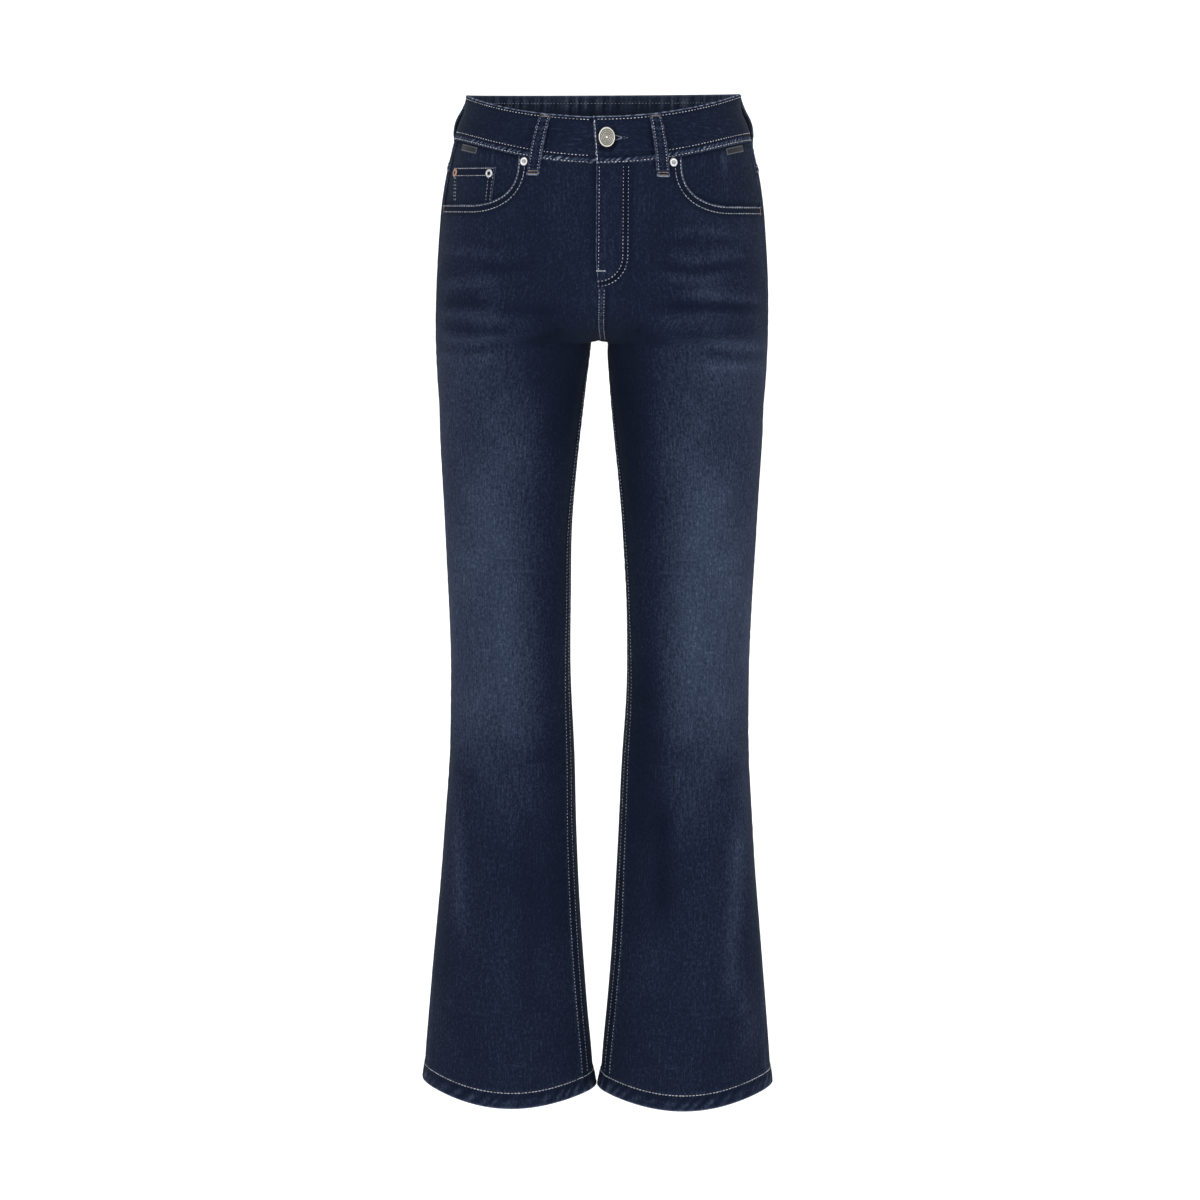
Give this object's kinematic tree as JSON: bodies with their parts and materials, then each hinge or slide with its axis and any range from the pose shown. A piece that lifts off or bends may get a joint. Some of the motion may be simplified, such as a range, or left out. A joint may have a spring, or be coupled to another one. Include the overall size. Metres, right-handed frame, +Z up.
{
  "type": "wide leg jeans",
  "caption": "Dark denim jeans in a worn, hollow shape, slim at the thigh and knee and flaring to wide hems, with a lapped waistband, belt loops, scooped front pockets and a closed button fly.",
  "frame": {"origin": "centre of the waist opening, level with the rim at the sides, where the wearer holds the jeans up", "axes": "+Z up the body, +X to the right of someone facing the front (the wearer's left), -Y out of the front"},
  "size_m": [0.3832, 0.2462, 1.0776],
  "materials": {
    "denim": "matt twill, dark indigo, softly faded down the thighs",
    "button_metal": "satin pewter",
    "silver_rivet": "bright satin",
    "copper_rivet": "satin copper",
    "tag_metal": "dark satin"
  },
  "bodies": {
    "root": {"waistband": "denim", "front_right": "denim", "front_left": "denim", "back_right": "denim", "back_left": "denim", "yoke_right": "denim", "yoke_left": "denim", "pocket_facing_right": "denim", "pocket_facing_left": "denim", "coin_pocket": "denim", "back_pocket_right": "denim", "back_pocket_left": "denim", "fly_underlap": "denim", "belt_loop_front_right": "denim", "belt_loop_front_left": "denim", "belt_loop_side_right": "denim", "belt_loop_side_left": "denim", "belt_loop_back": "denim", "button": "button_metal", "rivet_pocket_right": "silver_rivet", "rivet_pocket_left": "silver_rivet", "rivet_coin_inner": "silver_rivet", "rivet_coin_outer": "copper_rivet", "side_tag_right": "tag_metal", "side_tag_left": "tag_metal"}
  },
  "joints": []
}
